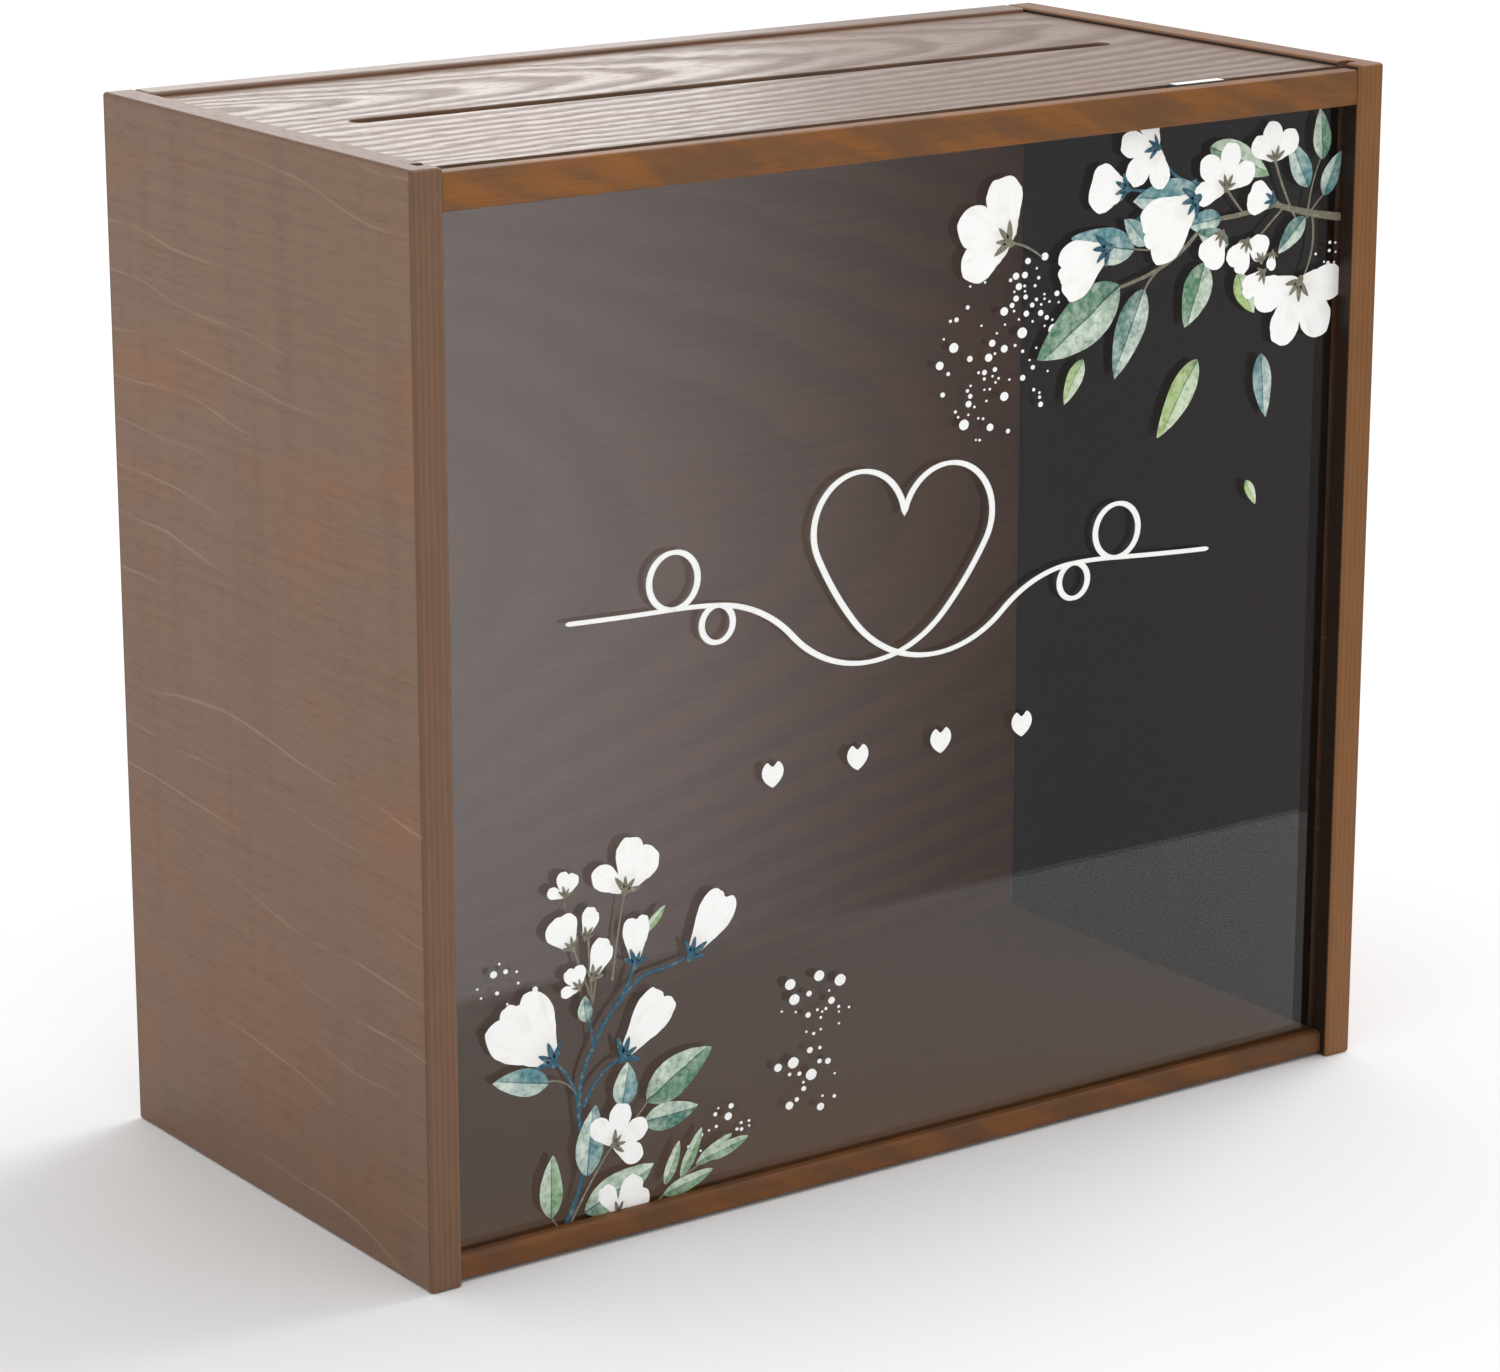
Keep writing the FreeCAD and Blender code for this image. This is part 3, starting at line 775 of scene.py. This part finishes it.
# %% [markdown]
# ## Copies and strokes
#
# A layer of the print is many copies of those shapes, joined into one piece. Each copy lies a hair above
# the one before, as later ink does on earlier ink, so that no two faces are in the same plane. Strokes are
# curves with a round bevel, flattened to the bead of ink that a pen leaves.


# %% Copies and strokes
dice = random.Random(5)
layer_step = 0.003
film = 0.01


def mark_tone(thing, tone):
    layer = thing.data.attributes.get("tone") or thing.data.attributes.new("tone", "FLOAT", "POINT")
    for item in layer.data:
        item.value = tone


def dab(shape, x, y, length, width, angle, level, tone):
    """A copy of a shape with its foot at a point, and its length and width in millimetres."""
    copy = shape.copy()
    copy.data = shape.data.copy()
    copy.hide_render = False
    bpy.context.collection.objects.link(copy)
    place = Matrix.Translation((x, y, ink_gap + level))
    turn = Matrix.Rotation(math.radians(angle), 4, "Z")
    size = Matrix.Diagonal((length / shape.dimensions.x, width / shape.dimensions.y, 1, 1))
    copy.data.transform(place @ turn @ size)
    mark_tone(copy, tone)
    return copy


def join(name, copies):
    """Join copies into one object."""
    bpy.ops.object.select_all(action="DESELECT")
    for copy in copies:
        copy.select_set(True)
    bpy.context.view_layer.objects.active = copies[0]
    bpy.ops.object.join()
    piece = bpy.context.object
    piece.name = name
    piece.data.name = name
    return piece


def thicken(piece, thickness):
    """Give a flat drawing the thickness of ink, outwards from the pane."""
    bpy.ops.object.select_all(action="DESELECT")
    piece.select_set(True)
    bpy.context.view_layer.objects.active = piece
    solid = piece.modifiers.new("film", "SOLIDIFY")
    solid.thickness = thickness
    solid.offset = 1
    bpy.ops.object.modifier_apply(modifier="film")
    return piece


def stroke(name, points, kind, thickness, level, tone=0.0):
    """A flattened bead of ink along points of (x, y, width). A NURBS one rounds the corners off."""
    curve = bpy.data.curves.new(name, "CURVE")
    curve.dimensions = "3D"
    line = curve.splines.new(kind)
    line.points.add(len(points) - 1)
    for point, (x, y, width) in zip(line.points, points):
        point.co = (x, y, 0, 1)
        point.radius = width
    if kind == "NURBS":
        line.order_u = 3
        line.use_endpoint_u = True
        line.resolution_u = 8
    curve.bevel_depth = 0.5
    curve.bevel_resolution = 2
    curve.use_fill_caps = True
    bead = bpy.data.objects.new(name, curve)
    bpy.context.collection.objects.link(bead)
    bpy.ops.object.select_all(action="DESELECT")
    bead.select_set(True)
    bpy.context.view_layer.objects.active = bead
    bpy.ops.object.convert(target="MESH")
    bead = bpy.context.object
    for vert in bead.data.vertices:
        vert.co.z = vert.co.z / max(p[2] for p in points) * thickness
    bead.data.transform(Matrix.Translation((0, 0, ink_gap + level + thickness / 2)))
    if not bead.data.uv_layers:
        bead.data.uv_layers.new(name="UVMap")
    mark_tone(bead, tone)
    return bead


def paint_with(piece, material):
    piece.data.materials.clear()
    piece.data.materials.append(material)
    return piece


print("layers", layer_step, "mm apart, films", film, "mm thick")

# %% [markdown]
# ## Flourish
#
# One long pen stroke: a line in, two curls, a heart, two curls and a line out. The pen is broad when it
# moves up or down and thin when it moves sideways, which is what makes a stroke look written. The route is
# given as an arc at a time, for one half, and the other half is the same arcs the other way round.

# %% Flourish
flourish_middle = (-4.3, 151.5)
flourish_half = [(33, 2), (46, 360), (14, -6), (30, -360), (26, -40), (54, 92), (22, 14), (50, 198)]
flourish_tilt = -2.9
flourish_bead = 0.08
pen_thin = 1.25
pen_swell = 0.75
pen_tip = 0.5
cusp = -2 * sum(turn for length, turn in flourish_half) % 360
x = 0.0
y = 0.0
heading = flourish_tilt
route = []
for length, turn in flourish_half + [(0, cusp)] + flourish_half[::-1]:
    count = max(1, round(length))
    for _ in range(count):
        mean = math.radians(heading + turn / count / 2)
        x += length / count * math.cos(mean)
        y += length / count * math.sin(mean)
        heading += turn / count
        route.append((x, y, pen_thin + pen_swell * abs(math.sin(math.radians(heading)))))
route = [(a - x / 2, b - y / 2, width) for a, b, width in route]
route[0] = (*route[0][:2], pen_tip)
route[-1] = (*route[-1][:2], pen_tip)
flourish = stroke("flourish", route, "POLY", flourish_bead, 0.0)
paint_with(flourish, pen_white)
flourish_spot = (flourish_middle[0] * MM, window_low + flourish_middle[1] * MM)
stand(flourish, flourish_spot)
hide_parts("flourish_print")
print("flourish", len(flourish.data.polygons), "faces")

# %% [markdown]
# ## Row of hearts
#
# Four small hearts stand under the flourish. A heart is the disc again, pulled down to a point at the
# bottom and pressed in at the top.

# %% Row of hearts
hearts_in_row = 4
heart_size = 6.8
heart_pitch = 27.0
heart_row_drop = 43.0
heart_bead = 0.06
hearts = []
for i in range(hearts_in_row):
    x = heart_pitch * (i - (hearts_in_row - 1) / 2)
    hearts.append(dab(heart_shape, x, -heart_size / 2, heart_size, heart_size, 90, 0.0, 0.5))
heart_row = thicken(join("heart_row", hearts), heart_bead)
paint_with(heart_row, pen_white)
stand(heart_row, (flourish_spot[0], flourish_spot[1] - heart_row_drop * MM))
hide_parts("heart_row_print")
print("heart row", [round(v / MM, 1) for v in heart_row.dimensions], "mm")

# %% [markdown]
# ## How a bouquet is drawn
#
# Stems go first, then leaves over them, then flowers, then the little green cup that holds each flower.
# A kind of flower is a few petals, each turned from the flower's own direction, with its length and width
# as shares of the flower's length. So a bouquet is only lists of places, sizes and directions.


# %% How a bouquet is drawn
stem_bead = 0.03
stem_taper = 0.35
flower_kinds = {
    "tulip": [(0, 0.93, 0.4), (8, 0.97, 0.4), (-9, 1.0, 0.38)],
    "cup": [(0, 0.9, 0.5), (17, 1.0, 0.5), (-16, 0.93, 0.46), (2, 0.97, 0.36)],
    "open": [(76, 0.84, 0.5), (-20, 0.95, 0.64), (15, 1.0, 0.62)],
    "star": [(108, 0.9, 0.56), (-54, 0.92, 0.56), (54, 1.0, 0.62), (0, 1.0, 0.58)],
    "ball": [(11, 1.0, 0.78), (-12, 0.95, 0.72)],
    "bud": [(6, 1.0, 0.56), (-8, 0.9, 0.5)],
    "wide": [(-52, 0.96, 0.66), (50, 0.92, 0.6), (4, 1.0, 0.66)],
}


def draw_stems(name, stems):
    """Stems as (start width, tone, points), tapering to their ends."""
    beads = []
    for i, (width, tone, points) in enumerate(stems):
        last = len(points) - 1
        tapered = [(x, y, width * (1 - stem_taper * j / last)) for j, (x, y) in enumerate(points)]
        beads.append(stroke(name, tapered, "NURBS", stem_bead, i * layer_step / 2, tone))
    return paint_with(join(name, beads), teal)


def draw_leaves(name, leaves, level=0.05):
    blades = []
    for i, (x, y, length, width, angle, tone) in enumerate(leaves):
        shape = blade_shape if width < length * 0.32 else leaf_shapes[i % 2]
        blades.append(dab(shape, x, y, length, width, angle, level + i * layer_step, tone))
    return paint_with(thicken(join(name, blades), film), green)


def draw_flowers(name, flowers, level=0.1):
    petals = []
    for kind, x, y, length, angle in flowers:
        for fan, share, width in flower_kinds[kind]:
            shape = dice.choice(petal_shapes)
            turned = angle + fan + dice.uniform(-2, 2)
            petals.append(dab(shape, x, y, length * share, length * width, turned, level, dice.random()))
            level += layer_step / 2
    print(name, len(petals), "petals, up to", round(level + film + ink_gap, 3), "mm from the pane")
    return paint_with(thicken(join(name, petals), film), white)


def draw_cups(name, flowers, tones, level=0.21):
    """Sepals and a small swelling at the foot of each flower, as large as its length asks."""
    sepals = []
    for (kind, x, y, length, angle), tone in zip(flowers, tones):
        reach = min(6.0, 1.2 + length * 0.26)
        for fan in (-64, -24, 20, 58):
            long = reach * dice.uniform(0.8, 1.1)
            sepals.append(dab(blade_shape, x, y, long, long * 0.3, angle + fan, level, tone))
        back = math.radians(angle + 180)
        root_x = x + reach * 0.3 * math.cos(back)
        root_y = y + reach * 0.3 * math.sin(back)
        root = dab(speck_shape, root_x, root_y, reach * 0.55, reach * 0.4, angle, level + film / 2, tone)
        sepals.append(root)
    return paint_with(thicken(join(name, sepals), film / 2), teal)


# %% [markdown]
# ## Lower bouquet
#
# It grows out of the bottom left corner. Places are from that corner of the opening.

# %% Lower bouquet
lower_stems = [
    (1.5, 0.0, [(34, -1), (42, 12), (37, 33), (45, 50), (54, 59), (56, 66)]),
    (1.2, 0.0, [(39, 29), (37, 40), (31, 44)]),
    (1.2, 0.0, [(40, 30), (44, 39), (52, 41)]),
    (1.2, 0.0, [(50, 55), (57, 62), (66, 62), (73, 64)]),
    (0.9, 0.0, [(43, 45), (43, 51), (41, 56)]),
    (0.8, 1.0, [(49, 62), (51, 76), (53, 85)]),
    (0.8, 1.0, [(37, 74), (40, 66), (43, 58)]),
    (0.8, 1.0, [(42, 75), (42, 68), (43, 59)]),
    (0.8, 1.0, [(44, 65), (44, 61), (43, 57)]),
    (0.8, 0.9, [(36, 0), (44, 13), (49, 18)]),
    (0.7, 0.9, [(60, 28), (57, 24), (50, 19)]),
    (0.7, 0.7, [(62, -1), (69, 5), (80, 8)]),
    (0.6, 0.8, [(30, 3), (31, 0), (33, -1)]),
    (0.6, 0.8, [(28, 39), (34, 40), (38, 34)]),
    (0.7, 1.0, [(35, 87), (35, 84)]),
]
lower_leaves = [
    (29, 39, 17, 7.5, 167, 0.05), (41, 12, 19, 8.5, 84, 0.08), (52, 28, 12, 7.5, 80, 0.02),
    (60, 28, 23, 11, 30, 0.45), (59, 22, 17, 7.5, 2, 0.35), (30, 3, 17, 7, 90, 0.7),
    (41, 2, 23, 10, 20, 0.5), (59, 73, 9, 2.6, 42, 0.8), (65, 4, 12, 3.6, 66, 0.7),
    (70, 5, 14, 3.6, 60, 0.66), (75, 7, 13, 3.8, 27, 0.62), (78, 8, 14, 4, 12, 0.6),
    (65, 1, 16, 4.4, 12, 0.64), (41, 53, 7, 4.5, 96, 0.2),
]
lower_flowers = [
    ("cup", 31, 44, 23, 128), ("tulip", 52, 41, 20, 47), ("tulip", 73, 64, 19, 52),
    ("tulip", 56, 65, 13, 88), ("open", 53, 85, 14, 66), ("open", 35, 87, 6.5, 80),
    ("ball", 37, 73, 10, 118), ("bud", 41, 75, 8, 70), ("bud", 43, 64, 10.5, 66),
    ("open", 39, 62, 6.5, 110), ("star", 49, 18, 11, 22), ("open", 50, -1, 11, 40),
]
lower_tones = [0, 0, 0, 0, 1, 1, 1, 1, 1, 1, 0.7, 0.7]
stand(draw_stems("lower_stems", lower_stems), lower_corner)
stand(draw_leaves("lower_leaves", lower_leaves), lower_corner)
lower_heads = stand(draw_flowers("lower_flowers", lower_flowers), lower_corner)
stand(draw_cups("lower_cups", lower_flowers, lower_tones), lower_corner)
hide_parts("lower_bouquet_print")

# %% [markdown]
# ## Upper branch
#
# It hangs in from the top right corner, and its places are from that corner. A woody twig carries it.

# %% Upper branch
upper_stems = [
    (2.4, 1.0, [(1, -31), (-12, -29), (-24, -25)]),
    (1.5, 1.0, [(-22, -25), (-36, -27), (-47, -27), (-56, -35), (-67, -40), (-78, -42)]),
    (0.9, 1.0, [(-61, -37), (-67, -40), (-69, -45)]),
    (0.7, 1.0, [(-53, -33), (-62, -34), (-73, -32)]),
    (1.1, 0.0, [(-40, -17), (-52, -18), (-62, -12), (-65, -6)]),
    (1.1, 0.0, [(-51, -16), (-62, -19), (-75, -16)]),
    (1.1, 0.0, [(-61, -19), (-71, -23), (-74, -29), (-81, -31)]),
    (0.9, 1.0, [(-24, -13), (-21, -22), (-14, -33)]),
    (0.9, 0.8, [(-41, -19), (-37, -24), (-34, -27)]),
    (0.9, 1.0, [(-10, -30), (-8, -40), (-14, -48)]),
    (0.7, 1.0, [(-20, -26), (-29, -33), (-36, -40)]),
    (0.7, 0.8, [(-12, -30), (-11, -20), (-7, -13)]),
    (0.7, 0.8, [(-12, -30), (-10, -27), (-6, -24)]),
    (0.8, 1.0, [(-114, -26), (-108, -27), (-103, -31)]),
]
upper_leaves = [
    (-7, -14, 14, 6.4, 94, 0.45), (-6, -24, 13, 6, 66, 0.12), (-12, -21, 15, 7, 118, 0.04),
    (-46, -8, 23, 9, -22, 0.68), (-13, -30, 13, 6, 222, 0.25), (-78, -42, 32, 15, 214, 0.46),
    (-69, -44, 25, 10, 246, 0.3), (-48, -39, 18, 10, 252, 0.52), (-36, -43, 13, 6.5, 297, 0.95),
    (-73, -32, 22, 10, 169, 0.02), (-50, -21, 24, 11, 174, 0.04), (-43, -27, 12, 6.5, 184, 0.1),
    (-68, -31, 11, 6, 135, 0.06), (-40, -34, 12, 6, 160, 0.3),
]
upper_flowers = [
    ("star", -65, -6, 12.5, 168), ("ball", -75, -16, 13, 172), ("cup", -81, -31, 18, 200),
    ("cup", -51, -21, 21, 210), ("star", -41, -19, 12, 80), ("wide", -24, -13, 10.5, 96),
    ("ball", -24, -24, 9.5, 166), ("ball", -42, -31, 10, 238), ("open", -33, -34, 9, 240),
    ("ball", -28, -40, 7.5, 100), ("bud", -24, -38, 5, 262), ("star", -14, -47, 18, 246),
    ("bud", -27, -43, 9, 214), ("wide", -114, -26, 18, 152),
]
upper_tones = [0, 0, 0, 0, 0.7, 1, 0, 1, 1, 1, 1, 1, 1, 1]
stand(draw_stems("upper_stems", upper_stems), upper_corner)
stand(draw_leaves("upper_leaves", upper_leaves), upper_corner)
upper_heads = stand(draw_flowers("upper_flowers", upper_flowers), upper_corner)
stand(draw_cups("upper_cups", upper_flowers, upper_tones), upper_corner)
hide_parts("upper_branch_print")

# %% [markdown]
# ## Drifting leaves
#
# They fall from the upper branch and lead the eye down to the flourish.

# %% Drifting leaves
drifting = [
    (-89, -60, 13, 5.4, 240, 0.9), (-50, -65, 24, 8.6, 238, 0.95), (-27, -66, 18, 6.6, 276, 0.06),
    (-31, -100, 8, 3.2, 300, 0.95),
]
falling_leaves = stand(draw_leaves("drifting_leaves", drifting, 0.0), upper_corner)
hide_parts("drifting_leaves_print")
print(len(drifting), "drifting leaves")

# %% [markdown]
# ## Specks
#
# White ink was flicked off the brush beside both bouquets. A few drops are large and most are small, and
# none touches another.


# %% Specks
def specks(name, seed, patches, anchor):
    """Drops over ovals of (count, middle x, middle y, half width, half height, largest radius)."""
    chance = random.Random(seed)
    least = 0.35
    gap = 0.3
    outwards = 0.6
    mostly_small = 2.5
    bead = 0.03
    drops = []
    for count, middle_x, middle_y, reach_x, reach_y, largest in patches:
        wanted = len(drops) + count
        while len(drops) < wanted:
            angle = chance.uniform(0, 2 * math.pi)
            out = chance.random() ** outwards
            x = middle_x + out * reach_x * math.cos(angle)
            y = middle_y + out * reach_y * math.sin(angle)
            radius = least + (largest - least) * chance.random() ** mostly_small
            if all(math.hypot(x - a, y - b) > radius + r + gap for a, b, r in drops):
                drops.append((x, y, radius))
    dots = [dab(speck_shape, x - r, y, 2 * r, 1.8 * r, 0, 0.0, 0.5) for x, y, r in drops]
    piece = thicken(join(name, dots), bead)
    print(name, len(drops), "drops")
    return stand(paint_with(piece, pen_white), anchor)


lower_patches = [(38, 112, 34, 13, 22, 1.8), (16, 16, 66, 11, 13, 1.5), (16, 82, 16, 12, 8, 1.4)]
upper_patches = [(66, -118, -56, 20, 22, 1.7), (26, -104, -40, 9, 10, 1.2), (8, -5, -40, 4, 6, 0.8)]
lower_specks = specks("lower_specks", 7, lower_patches, lower_corner)
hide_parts("lower_speckle_print")
upper_specks = specks("upper_specks", 11, upper_patches, upper_corner)
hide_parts("upper_speckle_print")

# %% [markdown]
# ## Clearing up
#
# The master shapes aren't part of the box, so they go. The finished model must keep the size of the CAD.

# %% Clearing up
for master in masters:
    bpy.data.objects.remove(master)
